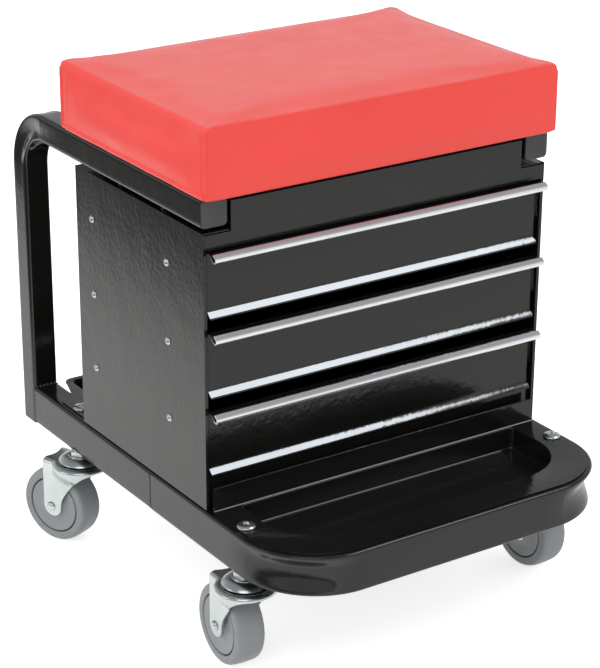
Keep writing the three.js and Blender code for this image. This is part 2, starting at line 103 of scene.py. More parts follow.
class Shader(Nodes):
    """A Principled material in object coordinates."""

    def __init__(self, name):
        self.material = bpy.data.materials.new(name)
        self.material.use_nodes = True
        super().__init__(self.material.node_tree)
        self.principled = self.tree.nodes["Principled BSDF"]
        self.coords = self.node("ShaderNodeTexCoord").outputs["Object"]

    def mapped(self, scale):
        mapping = self.node("ShaderNodeMapping", Scale=scale)
        self.link(self.coords, mapping.inputs["Vector"])
        return mapping.outputs["Vector"]

    def noise(self, scale, detail=2.0, rough=0.5, vector=None, distortion=0.0):
        node = self.node("ShaderNodeTexNoise", Scale=scale, Detail=detail, Roughness=rough,
                         Distortion=distortion)
        self.link(self.coords if vector is None else vector, node.inputs["Vector"])
        return node.outputs["Fac"]

    def remap(self, value, to, source=(0.3, 0.7)):
        node = self.node("ShaderNodeMapRange", From_Min=source[0], From_Max=source[1],
                         To_Min=to[0], To_Max=to[1])
        self.link(value, node.inputs["Value"])
        return node.outputs["Result"]

    def mix(self, factor, first, second):
        node = self.node("ShaderNodeMix", data_type="RGBA")
        node.inputs[MIX_A].default_value = (*first, 1)
        node.inputs[MIX_B].default_value = (*second, 1)
        self.link(factor, node.inputs[0])
        return node.outputs[MIX_RESULT]

    def bump(self, height, strength, distance, previous=None):
        node = self.node("ShaderNodeBump", Strength=strength, Distance=distance)
        self.link(height, node.inputs["Height"])
        if previous is not None:
            self.link(previous, node.inputs["Normal"])
        return node.outputs["Normal"]

    def set(self, **values):
        """Sets or links inputs of the Principled node."""
        for key, value in values.items():
            socket = self.principled.inputs[key.replace("_", " ")]
            if isinstance(value, bpy.types.NodeSocket):
                self.link(value, socket)
            else:
                socket.default_value = value
        return self.material


def set_ramp(node, first, last, between, blue):
    """End colours, then (position, grey) stops whose blue is scaled by blue."""
    elements = node.color_ramp.elements
    elements[0].position = 0.0
    elements[0].color = (*first, 1)
    elements[1].position = 1.0
    elements[1].color = (*last, 1)
    for position, grey in between:
        elements.new(position).color = (grey, grey, grey * blue, 1)


# ---------------------------------------------------------------- materials
def paint(name, tone=1.0):
    """Gloss black with orange peel and fine specks; a tone below 1 gives a darker copy that paints
    shade.
    """
    base = (0.0055, 0.0056, 0.0050)
    mat = Shader(name)
    mat.set(Base_Color=mat.mix(mat.noise(scale=9, detail=3), tuple(c * tone for c in base),
                               tuple(c * tone * 1.35 for c in base)))
    mat.set(Roughness=mat.remap(mat.noise(scale=14, detail=4), to=(0.10, 0.17)))
    peel = mat.bump(mat.noise(scale=210, detail=2, rough=0.4), strength=0.10, distance=0.0012)
    peel = mat.bump(mat.noise(scale=34, detail=2, rough=0.4), strength=0.06, distance=0.004,
                    previous=peel)
    specks = mat.remap(mat.noise(scale=900, detail=1), to=(0.0, 1.0), source=(0.74, 0.78))
    peel = mat.bump(specks, strength=0.12, distance=0.0004, previous=peel)
    return mat.set(Specular_IOR_Level=0.52, Normal=peel)


def metal(name, dark, light, rough, streak=None, bumpiness=0.06):
    """Bare metal; streak is the noise scale along x, y and z of a brushed grain."""
    mat = Shader(name)
    mat.set(Base_Color=mat.mix(mat.remap(mat.noise(scale=22, detail=3), to=(0, 1)), dark, light),
            Metallic=1.0)
    if streak:
        grain = mat.noise(scale=1.0, detail=3, rough=0.6, vector=mat.mapped(streak))
        mat.set(Roughness=mat.remap(grain, to=(rough * 0.75, rough * 1.35)))
        return mat.set(Normal=mat.bump(grain, strength=bumpiness, distance=0.0003))
    mat.set(Roughness=mat.remap(mat.noise(scale=60, detail=4), to=(rough * 0.75, rough * 1.3)))
    return mat.set(Normal=mat.bump(mat.noise(scale=420, detail=2), strength=bumpiness,
                                   distance=0.0004))


def vinyl():
    mat = Shader("red_vinyl")
    red = mat.mix(mat.remap(mat.noise(scale=5, detail=2), to=(0, 1)),
                  (0.80, 0.046, 0.036), (0.85, 0.060, 0.046))
    # painted sheen: the upward face is mixed a little toward whitish pink, standing in for light
    # glancing off the top
    geometry = mat.node("ShaderNodeNewGeometry")
    normal = mat.node("ShaderNodeSeparateXYZ")
    mat.link(geometry.outputs["Normal"], normal.inputs[0])
    painted_top_sheen = mat.mix(mat.remap(normal.outputs["Z"], to=(0.0, 0.11), source=(0.55, 1.0)),
                   (0, 0, 0), (0.93, 0.62, 0.60))
    mat.link(red, painted_top_sheen.node.inputs[MIX_A])
    mat.set(Base_Color=painted_top_sheen)
    cells = mat.node("ShaderNodeTexVoronoi", Scale=620, feature="F1")
    mat.link(mat.coords, cells.inputs["Vector"])
    grain = mat.bump(cells.outputs["Distance"], strength=0.16, distance=0.0005)
    grain = mat.bump(mat.noise(scale=1500, detail=2), strength=0.08, distance=0.0003,
                     previous=grain)
    grain = mat.bump(mat.noise(scale=11, detail=2, rough=0.5), strength=0.10, distance=0.010,
                     previous=grain)
    return mat.set(Roughness=mat.remap(mat.noise(scale=40, detail=3), to=(0.34, 0.46)),
                   Specular_IOR_Level=0.5, Sheen_Weight=0.05, Normal=grain,
                   Subsurface_Weight=0.03, Subsurface_Radius=(0.004, 0.001, 0.0008))


def rubber(name, dark, light, rough):
    """Matt rubber or plastic."""
    mat = Shader(name)
    mat.set(Base_Color=mat.mix(mat.remap(mat.noise(scale=30, detail=4), to=(0, 1)), dark, light))
    grain = mat.bump(mat.noise(scale=700, detail=3), strength=0.10, distance=0.0003)
    return mat.set(Roughness=mat.remap(mat.noise(scale=90, detail=3),
                                       to=(rough * 0.85, rough * 1.15)), Normal=grain)


def wood():
    """Plywood with its grain along x."""
    mat = Shader("plywood")
    grain = mat.noise(scale=1.0, detail=5, rough=0.6, vector=mat.mapped((6, 90, 90)),
                      distortion=0.6)
    mat.set(Base_Color=mat.mix(mat.remap(grain, to=(0, 1)), (0.38, 0.22, 0.10),
                               (0.58, 0.38, 0.20)), Roughness=0.75)
    return mat.set(Normal=mat.bump(grain, strength=0.25, distance=0.0008))


PAINT = paint("black_gloss_paint")
# painted shade: a darker copy of the gloss black for the drawer boxes inside the cabinet
PAINT_SHADED = paint("black_inner_paint", tone=0.8)
CAP = rubber("cap_plastic", dark=(0.030, 0.031, 0.034), light=(0.052, 0.053, 0.058), rough=0.42)
ALUMINIUM = metal("bright_aluminium", dark=(0.86, 0.87, 0.90), light=(0.93, 0.93, 0.95),
                  rough=0.17, streak=(7, 900, 900), bumpiness=0.10)
ZINC = metal("zinc_plate", dark=(0.50, 0.545, 0.55), light=(0.60, 0.64, 0.63), rough=0.24)
STEEL = metal("plain_steel", dark=(0.48, 0.49, 0.50), light=(0.60, 0.61, 0.61), rough=0.30,
              streak=(900, 9, 900))
GROOVE = rubber("groove_shadow", dark=(0.012, 0.013, 0.014), light=(0.02, 0.021, 0.022),
                rough=0.8)
TREAD = rubber("grey_tread", dark=(0.215, 0.232, 0.240), light=(0.250, 0.268, 0.276), rough=0.46)
CORE = rubber("grey_core", dark=(0.225, 0.240, 0.248), light=(0.255, 0.270, 0.278), rough=0.36)
VINYL = vinyl()
PLYWOOD = wood()


# ---------------------------------------------------------------- mesh helpers
# A part is (vertices, faces) in mm.
def add_object(name, mesh):
    obj = bpy.data.objects.new(name, mesh)
    COLLECTION.objects.link(obj)
    return obj


def finish_piece(obj, material, body, replaces=None, smooth=32, bevel=0.0):
    mesh = obj.data
    mesh.materials.clear()
    mesh.materials.append(material)
    mesh.polygons.foreach_set("use_smooth", [True] * len(mesh.polygons))
    mesh.set_sharp_from_angle(angle=math.radians(smooth))
    if bevel:
        add_bevel(obj, bevel, angle=38).harden_normals = True
    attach(obj, body)
    if replaces:
        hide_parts(replaces)
    return obj


def add_bevel(obj, width, angle):
    bevel = obj.modifiers.new("bevel", "BEVEL")
    bevel.width = width * MM
    bevel.segments = 2
    bevel.limit_method = "ANGLE"
    bevel.angle_limit = math.radians(angle)
    return bevel


def welded(name, part, distance):
    """A mesh and its bmesh, with points nearer than distance (in metres) merged."""
    vertices, faces = part
    mesh = bpy.data.meshes.new(name)
    mesh.from_pydata([tuple(float(c) * MM for c in v) for v in vertices], [], faces)
    bm = bmesh.new()
    bm.from_mesh(mesh)
    bmesh.ops.remove_doubles(bm, verts=bm.verts, dist=distance)
    return mesh, bm


def mesh_object(name, part):
    mesh, bm = welded(name, part, distance=2e-6)
    bmesh.ops.recalc_face_normals(bm, faces=bm.faces)
    bm.to_mesh(mesh)
    bm.free()
    return add_object(name, mesh)


def build(name, part, material, body, replaces=None, smooth=32, bevel=0.0):
    return finish_piece(mesh_object(name, part), material, body, replaces, smooth, bevel)


def evaluated_mesh(obj):
    bpy.context.view_layer.update()
    graph = bpy.context.evaluated_depsgraph_get()
    return bpy.data.meshes.new_from_object(obj.evaluated_get(graph))


def apply_modifiers(obj):
    mesh = evaluated_mesh(obj)
    obj.modifiers.clear()
    obj.data = mesh
    return mesh


def pressed_sheet(name, mesh, bm, thickness):
    """A skin turned face up and thickened below."""
    bmesh.ops.recalc_face_normals(bm, faces=bm.faces)
    if sum(f.normal.z * f.calc_area() for f in bm.faces if f.normal.z ** 2 > 0.9) < 0:
        bmesh.ops.reverse_faces(bm, faces=bm.faces)
    bm.to_mesh(mesh)
    bm.free()
    obj = add_object(name, mesh)
    solid = obj.modifiers.new("thick", "SOLIDIFY")
    solid.thickness = thickness * MM
    solid.offset = -1
    solid.use_even_offset = True
    apply_modifiers(obj)
    return obj


def join(parts):
    vertices, faces = [], []
    for part_vertices, part_faces in parts:
        start = len(vertices)
        vertices += [tuple(p) for p in part_vertices]
        faces += [tuple(i + start for i in face) for face in part_faces]
    return vertices, faces


def loft(rings, caps=True):
    """Quads between equal closed rings of points."""
    vertices = [tuple(p) for ring in rings for p in ring]
    n = len(rings[0])
    faces = []
    for k in range(len(rings) - 1):
        for i in range(n):
            j = (i + 1) % n
            faces.append((k * n + i, k * n + j, (k + 1) * n + j, (k + 1) * n + i))
    if caps:
        faces.append(tuple(range(n))[::-1])
        faces.append(tuple((len(rings) - 1) * n + i for i in range(n)))
    return vertices, faces


def around(count):
    """Equal angles round a full turn, in radians."""
    return [2 * math.pi * i / count for i in range(count)]


def circle(radius, z, count, turn=0.0, centre=(0.0, 0.0)):
    """A ring of points; turn is in degrees."""
    return [(centre[0] + radius * math.cos(angle + math.radians(turn)),
             centre[1] + radius * math.sin(angle + math.radians(turn)), z)
            for angle in around(count)]


def arc(cx, cy, radius, start, end, steps):
    """Points from start to end, both in degrees."""
    angles = [math.radians(start + (end - start) * i / steps) for i in range(steps + 1)]
    return [(cx + radius * math.cos(a), cy + radius * math.sin(a)) for a in angles]


def between(p, q, count):
    """Points that divide the line from p to q."""
    return [(p[0] + (q[0] - p[0]) * k / (count + 1), p[1] + (q[1] - p[1]) * k / (count + 1))
            for k in range(1, count + 1)]


def section(width, height, radius, steps=5, mid=7):
    """Rounded rectangle round the origin, with mid points along each side."""
    x, y = width / 2 - radius, height / 2 - radius
    corners = [arc(cx, cy, radius, start, start + 90, steps)
               for cx, cy, start in ((x, -y, -90), (x, y, 0), (-x, y, 90), (-x, -y, 180))]
    points = []
    for corner, following in zip(corners, corners[1:] + corners[:1]):
        points += corner + between(corner[-1], following[0], mid)
    return points


def lathe(profile, count=72, caps=True):
    """(radius, z) round the z axis."""
    return loft([circle(radius, z, count) for radius, z in profile], caps=caps)


def closed(points):
    return points + points[:1]


def smooth_profile(points):
    """One pass of corner cutting, which keeps the end points."""
    result = [points[0]]
    for p, q in zip(points, points[1:]):
        result.append((0.75 * p[0] + 0.25 * q[0], 0.75 * p[1] + 0.25 * q[1]))
        result.append((0.25 * p[0] + 0.75 * q[0], 0.25 * p[1] + 0.75 * q[1]))
    return result + [points[-1]]


def sheet(line, thickness):
    """A bent sheet's closed section: an open line thickened to its left."""
    points = np.array(line, float)
    along = np.gradient(points, axis=0)
    along /= np.linalg.norm(along, axis=1)[:, None] + 1e-12
    other = points + np.stack([-along[:, 1], along[:, 0]], 1) * thickness
    return [tuple(v) for v in points] + [tuple(v) for v in other[::-1]]


def extrude_x(outline, x0, x1, cuts=1):
    """A (y, z) outline drawn along x."""
    return loft([[(x0 + (x1 - x0) * k / cuts, y, z) for y, z in outline]
                 for k in range(cuts + 1)])


def extrude_y(outline, y0, y1):
    """An (x, z) outline drawn along y."""
    return loft([[(x, y, z) for x, z in outline] for y in (y0, y1)])


def transform(part, matrix):
    return [tuple(matrix @ Vector(p)) for p in part[0]], part[1]


def mirror_x(part):
    return [(-x, y, z) for x, y, z in part[0]], [tuple(face[::-1]) for face in part[1]]


def finish_cad(name, material, bevel):
    """A CAD piece that keeps its shape: welded, with softened edges."""
    obj = PIECES[name]
    obj.data.materials.clear()
    obj.data.materials.append(material)
    obj.modifiers.new("weld", "WELD").merge_threshold = 2e-6
    add_bevel(obj, bevel, angle=40)


def piece_box(name):
    lo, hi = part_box(name)
    return [c / MM for c in lo], [c / MM for c in hi]


# ---------------------------------------------------------------- driving dimensions
side_lo, side_hi = piece_box("side_frame_right")
bumper_lo, bumper_hi = piece_box("bumper_tube")
cap_lo, cap_hi = piece_box("arm_cap_right")
TUBE = side_hi[0] - side_lo[0]  # width of the frame tube
FRAME_X = side_hi[0]  # outer side of the frame
TUBE_X = FRAME_X - TUBE / 2  # centre of the right-hand tube
REAR_Y = side_hi[1]
SEAM_Y = bumper_hi[1]  # where the bumper meets the side rails
BASE_Z = bumper_lo[2]
BASE_TOP = bumper_hi[2]
BASE_H = BASE_TOP - BASE_Z
BASE_MID = (BASE_TOP + BASE_Z) / 2
ARM_TOP = 422.4
BEND_R = 60.0  # outer radius of the bend between arm and post
ARM_SPLAY = 2.2  # outward shift of the right arm's front end
TRAY_T = 1.2
TRAY_X = 175.5  # half width of both trays
RIM_Z = BASE_TOP + 0.3 + TRAY_T  # top of the tray rims


def bend_weight(k, steps, power):
    """0 at both ends of a bend and 1 halfway."""
    return max(0.0, math.sin(math.pi * k / steps)) ** power


# ---------------------------------------------------------------- side frames
def post_stations():
    """(y, z, outward normal in degrees, bend weight) along the arm, bend and post."""
    radius = BEND_R - TUBE / 2
    cy, cz = REAR_Y - BEND_R, ARM_TOP - BEND_R
    start_y = cap_lo[1] + 1.9
    stations = [(start_y + (cy - start_y) * k / 8, cz + radius, 90, 0) for k in range(9)]
    steps = 26
    for k in range(1, steps + 1):
        angle = 90 - 90 * k / steps
        (y, z), = arc(cy, cz, radius, angle, angle, 1)[:1]
        stations.append((y, z, angle, bend_weight(k, steps, power=0.9)))
    return stations + [(cy + radius, cz + (BASE_Z - cz) * k / 10, 0, 0) for k in range(1, 11)]


def post(splay):
    """Cold-bent square tube: the side walls draw in and the inner wall buckles."""
    wall = TUBE / 2 - 3.3  # beyond this a point lies on a wall
    side_draw, inner_buckle, outer_draw = 3.6, 2.4, 1.2
    profile = section(TUBE, TUBE, radius=3.2)
    rings = []
    for y, z, angle, weight in post_stations():
        normal_y, normal_z = math.cos(math.radians(angle)), math.sin(math.radians(angle))
        # the arm alone splays, from y = 60 to the full amount 165 farther forward
        shift = splay * max(0.0, (60 - y) / 165) if z > ARM_TOP - TUBE - 3 else 0
        ring = []
        for u, v in profile:
            across, depth = u, v
            if abs(u) > wall:
                side = math.cos(math.pi * v / TUBE) ** 2 if abs(v) < TUBE / 2 else 0
                across = u - math.copysign(side_draw * weight * side, u)
            middle = math.cos(math.pi * u / TUBE) ** 2
            if v < -wall:
                depth = v + inner_buckle * weight ** 3 * middle
            if v > wall:
                depth = v - outer_draw * weight * middle
            ring.append((TUBE_X + across + shift, y + normal_y * depth, z + normal_z * depth))
        rings.append(ring)
    return loft(rings)


def rail():
    """Straight base rail from the bumper seam to the post, with a stepped front end."""
    y0, y1 = SEAM_Y + 0.45, REAR_Y - TUBE + 0.8
    end = section(TUBE - 1.4, BASE_H - 1.4, radius=2.6)
    full = section(TUBE, BASE_H, radius=3.2)
    stations = [(end, y0)] + [(full, y) for y in np.linspace(y0 + 0.8, y1, 8)]
    return loft([[(TUBE_X + u, y, BASE_MID + v) for u, v in outline] for outline, y in stations])


def top_weld():
    """Rippled bead across the rail's top where it meets the post."""
    x0, x1 = FRAME_X - TUBE + 2, FRAME_X - 2
    rings = []
    for k in range(41):
        t = k / 40
        radius = 2.0 + 0.55 * math.sin(t * 34) + 0.3 * noise.noise(Vector((t * 9, 1, 2)))
        rings.append([(x0 + (x1 - x0) * t, REAR_Y - TUBE + 0.2 + radius * math.cos(a),
                       BASE_TOP - 0.2 + radius * math.sin(a)) for a in around(12)])
    return loft(rings)


def side_weld(side):
    """Finer bead down one side of the same joint, ground nearly flush."""
    x = TUBE_X + side * (TUBE / 2 - 0.6)
    rings = []
    for k in range(36):
        t = k / 35
        radius = 1.05 + 0.2 * math.sin(t * 40 + side)
        z = BASE_Z + 2 + (BASE_H - 3) * t
        rings.append([(x + radius * 0.75 * math.cos(a), REAR_Y - TUBE + radius * math.sin(a), z)
                      for a in around(10)])
    return loft(rings)


def arm_pad():
    """Flat pad under the seat, on top of the arm."""
    # y, height above the arm
    outline = [(-46, -1), (72, -1), (72, 2.2), (71, 2.9), (-45, 2.9), (-46, 2.2)]
    return extrude_x([(y, ARM_TOP + z) for y, z in outline], FRAME_X - TUBE + 1, FRAME_X - 1)


def side_frame(splay):
    return join([post(splay), rail(), top_weld(), side_weld(-1), side_weld(1), arm_pad()])


build("side_frame_right_tube", side_frame(ARM_SPLAY), PAINT, ROOT, "side_frame_right", smooth=38)
build("side_frame_left_tube", mirror_x(side_frame(0.0)), PAINT, ROOT, "side_frame_left",
      smooth=38)


# ---------------------------------------------------------------- bumper
BUMPER_R = 72.0  # outer radius of its two bends
BUMPER_END_Y = SEAM_Y - 0.1


def bumper_stations():
    """(x, y, outward normal in degrees, bend weight) from the right end round to the left."""
    radius = BUMPER_R - TUBE / 2
    cx, cy = FRAME_X - BUMPER_R, bumper_lo[1] + BUMPER_R
    end_x, step_y = cx + radius, SEAM_Y - 0.9
    steps = 34

    def bend(centre_x, start):
        stations = []
        for k in range(1, steps + 1):
            angle = start - 90 * k / steps
            (x, y), = arc(centre_x, cy, radius, angle, angle, 1)[:1]
            stations.append((x, y, angle, bend_weight(k, steps, power=0.8)))
        return stations

    right = [(end_x, BUMPER_END_Y, 0, 0), (end_x, step_y, 0, 0)]
    right += [(end_x, SEAM_Y + (cy - SEAM_Y) * k / 6, 0, 0) for k in range(1, 7)]
    front = [(cx - 2 * cx * k / 12, cy - radius, -90, 0) for k in range(1, 13)]
    left = [(-end_x, cy + (SEAM_Y - cy) * k / 6, -180, 0) for k in range(1, 6)]
    left += [(-end_x, step_y, -180, 0), (-end_x, BUMPER_END_Y, -180, 0)]
    return right + bend(cx, 0) + front + bend(-cx, -90) + left


def outer_fold(height):
    """How far the bent outer wall folds in, at a height from 0 to 1:
    a narrow ridge stays above the fold and a fuller lobe below."""
    deepest = 0.60
    if height > deepest:
        fold = max(0.0, math.cos((height - deepest) / 0.37 * math.pi / 2)) ** 1.6
    else:
        fold = max(0.0, math.cos((deepest - height) / deepest * math.pi / 2)) ** 1.5
    return 7.2 * fold + 1.6 * max(0.0, 1 - height / 0.5)


def bumper():
    wall = TUBE / 2 - 3.5  # beyond this a point lies on the outer or inner wall
    inner_draw = 2.5
    profile = section(TUBE, BASE_H, radius=2.6, steps=6, mid=15)
    rings = []
    for x, y, angle, weight in bumper_stations():
        normal_x, normal_y = math.cos(math.radians(angle)), math.sin(math.radians(angle))
        shrink = 0.7 if y == BUMPER_END_Y else 0.0
        ring = []
        for u, v in profile:
            depth = u - math.copysign(shrink, u)
            if u > wall:
                depth -= weight * outer_fold((v + BASE_H / 2) / BASE_H)
            elif u < -wall:
                depth += weight * inner_draw * math.cos(math.pi * v / BASE_H) ** 2
            ring.append((x + normal_x * depth, y + normal_y * depth,
                         BASE_MID + v - math.copysign(shrink, v)))
        rings.append(ring)
    return loft(rings)


build("bumper_bent_tube", bumper(), PAINT, ROOT, "bumper_tube", smooth=40)

# ---------------------------------------------------------------- arm end caps
# distance behind the cap's front, growth of each side, corner radius
CAP_STATIONS = [
    (2.4, -0.5, 3.6), (1.9, -0.1, 3.8), (1.0, 0.0, 4.0), (0.35, -0.3, 4.0), (0.05, -0.9, 3.8),
    (0.0, -1.6, 3.4), (0.12, -5.0, 2.5), (0.3, -9.0, 1.8),
]


def arm_cap(shift):
    cx, cz = (cap_lo[0] + cap_hi[0]) / 2, (cap_lo[2] + cap_hi[2]) / 2
    rings = []
    for depth, growth, radius in CAP_STATIONS:
        width = cap_hi[0] - cap_lo[0] + 2 * growth
        rings.append([(cx + shift + u, cap_lo[1] + depth, cz + v)
                      for u, v in section(width, width, radius, mid=3)])
    return loft(rings)


build("arm_cap_right_moulded", arm_cap(ARM_SPLAY), CAP, ROOT, "arm_cap_right")
build("arm_cap_left_moulded", mirror_x(arm_cap(0.0)), CAP, ROOT, "arm_cap_left")


# ---------------------------------------------------------------- trays
def inset(loop, distance):
    """A closed loop moved inwards along its corner normals."""
    points = np.array(loop, float)
    following = np.roll(points, -1, 0)
    edge_in = points - np.roll(points, 1, 0)
    edge_out = following - points
    edge_in /= np.linalg.norm(edge_in, axis=1)[:, None] + 1e-12
    edge_out /= np.linalg.norm(edge_out, axis=1)[:, None] + 1e-12
    normal_in = np.stack([-edge_in[:, 1], edge_in[:, 0]], 1)
    normal_out = np.stack([-edge_out[:, 1], edge_out[:, 0]], 1)
    mitre = normal_in + normal_out
    mitre /= (1 + (normal_in * normal_out).sum(1))[:, None]
    area = 0.5 * np.sum(points[:, 0] * following[:, 1] - following[:, 0] * points[:, 1])
    return [tuple(v) for v in points + mitre * distance * (1 if area > 0 else -1)]


def rounded(x, y0, y1, front_r, rear_r, steps):
    """Outline from -x to x with its own radius at the front and rear corners."""
    return (arc(x - front_r, y0 + front_r, front_r, -90, 0, steps)
            + arc(x - rear_r, y1 - rear_r, rear_r, 0, 90, steps)
            + arc(-x + rear_r, y1 - rear_r, rear_r, 90, 180, steps)
            + arc(-x + front_r, y0 + front_r, front_r, 180, 270, steps))


def tray(name, outer, well, flange=None):
    """One pressed sheet: flat rim, filleted well and an optional flange."""
    floor_z = piece_box(name)[0][2] + TRAY_T
    edge, floor_r = 1.2, 2.0  # radii at the top and foot of the well's wall
    wall = edge + 0.8  # inset of the wall from the well's outline
    bm = bmesh.new()

    def ring(points, z):
        return [bm.verts.new((x * MM, y * MM, z * MM)) for x, y in points]

    rim = ring(outer, RIM_Z)
    previous = ring(well, RIM_Z)
    for verts in (rim, previous):
        for i in range(len(verts)):
            bm.edges.new((verts[i], verts[(i + 1) % len(verts)]))
    bmesh.ops.triangle_fill(bm, edges=list(bm.edges), use_beauty=True)
    angles = np.linspace(math.pi / 10, math.pi / 2, 5)
    # inset, z
    steps = [(edge * math.sin(a), RIM_Z - edge * (1 - math.cos(a))) for a in angles]
    steps += [(wall, floor_z + floor_r)]
    steps += [(wall + floor_r * (1 - math.cos(a)), floor_z + floor_r - floor_r * math.sin(a))
              for a in angles]
    for distance, z in steps:
        current = ring(inset(well, distance), z)
        for i in range(len(current)):
            j = (i + 1) % len(current)
            bm.faces.new((previous[i], previous[j], current[j], current[i]))
        previous = current
    bm.faces.new(previous)
    obj_name = name + "_pressed"
    obj = pressed_sheet(obj_name, bpy.data.meshes.new(obj_name), bm, TRAY_T)
    if flange:
        bm = bmesh.new()
        bm.from_mesh(obj.data)
        verts = [bm.verts.new((x * MM, y * MM, z * MM)) for x, y, z in flange[0]]
        for face in flange[1]:
            bm.faces.new([verts[i] for i in face])
        bmesh.ops.recalc_face_normals(bm, faces=bm.faces)
        bm.to_mesh(obj.data)
        bm.free()
    finish_piece(obj, PAINT, ROOT, name, smooth=30, bevel=0.25)


def front_tray():
    """Rounded front, and a flange turned up along the cabinet."""
    lo, hi = piece_box("front_tray")
    under = RIM_Z - TRAY_T
    # y, z
    line = [(-113.5, under), (-112.6, under + 0.15), (-111.6, under + 0.9), (-111.05, RIM_Z),
            (-111, RIM_Z + 1.4), (-111, hi[2] - 0.4), (-111.25, hi[2])]
    tray("front_tray",
         outer=rounded(TRAY_X, lo[1], -111.8, front_r=66, rear_r=1.5, steps=18),
         well=rounded(151, lo[1] + 29.5, -112.9, front_r=52, rear_r=6.0, steps=18),
         flange=extrude_x(sheet(line, TRAY_T), -TRAY_X, TRAY_X))


def rear_tray():
    """The outline steps in behind the frame posts."""
    front_y, step_y, rear_y = 118, 176, 212
    step_x, rear_x = 159.5, 151.5
    step_r, rear_r = 12, 10
    outer = ([(TRAY_X, front_y)] + arc(TRAY_X - step_r, step_y - step_r, step_r, 0, 90, 8)
             + [(step_x, step_y)] + arc(rear_x - rear_r, rear_y - rear_r, rear_r, 0, 90, 8)
             + arc(-rear_x + rear_r, rear_y - rear_r, rear_r, 90, 180, 8) + [(-step_x, step_y)]
             + arc(-TRAY_X + step_r, step_y - step_r, step_r, 90, 180, 8)
             + [(-TRAY_X, front_y)])
    tray("rear_tray", outer, rounded(146, 124, 206.5, front_r=6.5, rear_r=7, steps=8))


front_tray()
rear_tray()

# ---------------------------------------------------------------- tray screws
HEAD_RADII = [0, 0.5, 1.0, 1.5, 2.0, 2.4, 2.8, 3.2, 3.6, 4.0, 4.6, 5.2, 5.9, 6.6, 7.2, 7.7, 8.0,
              8.15]


def head_height(x, y, radius, turn):
    """Domed head with a cross recess turned by turn radians."""
    u = x * math.cos(turn) + y * math.sin(turn)
    v = -x * math.sin(turn) + y * math.cos(turn)
    along, across = max(abs(u), abs(v)), min(abs(u), abs(v))
    # soft-edged arms, 0.72 in half width and 3.3 long, shallower outwards
    inside = 1 / (1 + math.exp((across - 0.72) * 7)) / (1 + math.exp((along - 3.3) * 4))
    dome = 3.6 * math.sqrt(1 - (radius / 8.6) ** 2) + 0.15
    return dome - 2.4 * inside * max(0.35, 1 - along / 4.5)


def cross_screw(name, turn):
    count = 96
    shank_r = 2.9
    lo, hi = piece_box(name)
    centre = ((lo[0] + hi[0]) / 2, (lo[1] + hi[1]) / 2)
    seat_z = RIM_Z + 0.3
    rings = []
    for radius in HEAD_RADII:
        rings.append([(centre[0] + x, centre[1] + y, seat_z + head_height(x, y, radius, turn))
                      for x, y, _ in circle(radius, 0, count)])
    for radius, z in ((8.0, 0), (shank_r, -0.02), (shank_r, -13.5)):
        rings.append(circle(radius, seat_z + z, count, centre=centre))
    build(name + "_head", loft(rings), ZINC, ROOT, name, smooth=50)


for k, corner in enumerate(CORNERS):
    cross_screw("tray_screw_" + corner, turn=0.35 + 0.6 * k)

# ---------------------------------------------------------------- cabinet and seat fixings
for name in ("cabinet_wrap", "cabinet_floor", "cabinet_header", "cabinet_top"):
    finish_cad(name, PAINT, bevel=0.28)
for side in ("left", "right"):
    finish_cad("joint_sleeve_" + side, STEEL, bevel=0.3)
    for end in ("front", "rear"):
        finish_cad(f"seat_bolt_{side}_{end}", ZINC, bevel=0.3)
finish_cad("seat_board", PLYWOOD, bevel=0.6)

# ---------------------------------------------------------------- drawers
# y, height below the top of the pull
PULL_LINE = [
    (-114.6, 1.0), (-116.9, 2.6), (-117.8, 3.3), (-118.15, 3.9), (-118.2, 4.5), (-118.2, 6.0),
    (-117.95, 6.6), (-117.2, 7.1), (-115.9, 7.1), (-113.9, 6.4), (-111.0, 4.6),
]


def drawer_face(number):
    """Pressed face: flared lip along the bottom, rolled lip along the top."""
    name = f"drawer_{number}_front"
    lo, hi = piece_box(name)
    bottom, top, rear_y = lo[2], hi[2], hi[1]
    thickness = 1.0
    front_y = rear_y - thickness
    half_width = hi[0] + 0.7
    roll_r = 2.2
    # y, height above the bottom
    lower = [(-107.5, 0.0), (-107.5, 1.0), (-107.4, 1.25), (-107.2, 1.5), (-105.4, 3.3),
             (front_y - 0.3, 5.4), (front_y - 0.08, 5.7), (front_y, 6.1), (front_y, 9),
             (front_y, 30)]
    line = [(y, bottom + z) for y, z in lower] + [(front_y, top - 8)]
    line += arc(front_y - roll_r, top - 3.2, roll_r, 0, 62, 5)
    line += [(-110.0, top - 2.2), (-113.4, top - 4.5)]
    parts = [extrude_x(sheet(line, -thickness), -half_width, half_width, cuts=24)]
    # narrow upright strips at both sides of the face's back
    for side in (-1, 1):
        inner, outer = side * (half_width - 1.0), side * half_width
        strip_outline = [(inner, bottom + 8), (outer, bottom + 8), (outer, top - 4),
                         (inner, top - 4)]
        parts.append(extrude_y(strip_outline, rear_y - 0.4, rear_y))
    build(f"drawer_{number}_face", join(parts), PAINT, f"drawer_{number}", name, smooth=24,
          bevel=0.12)


def drawer_pull(number):
    """Bright trim, open towards the rear."""
    name = f"drawer_{number}_pull"
    lo, hi = piece_box(name)
    outline = sheet([(y, hi[2] - drop) for y, drop in PULL_LINE], -0.85)
    build(f"drawer_{number}_trim", extrude_x(outline, lo[0], hi[0], cuts=2), ALUMINIUM,
          f"drawer_{number}", name, smooth=50, bevel=0.16)


for number in (1, 2, 3):
    drawer_face(number)
    drawer_pull(number)
    # the drawer boxes take the darker copy of the paint, painted shade inside the cabinet
    finish_cad(f"drawer_{number}_box", PAINT_SHADED, bevel=0.25)

# ---------------------------------------------------------------- cabinet slides
SLIDE_X = 180.0  # the rivet heads stand just outside this
SLIDE_T = 0.9
# radius, height above the rivet's seat
RIVET_PROFILE = [
    (0.0, 1.1), (0.55, 1.15), (0.95, 1.75), (1.3, 1.95), (2.2, 1.72), (3.0, 1.15), (3.45, 0.55),
    (3.6, 0.15), (3.6, 0.0), (1.7, 0.0), (1.7, -2.5),
]


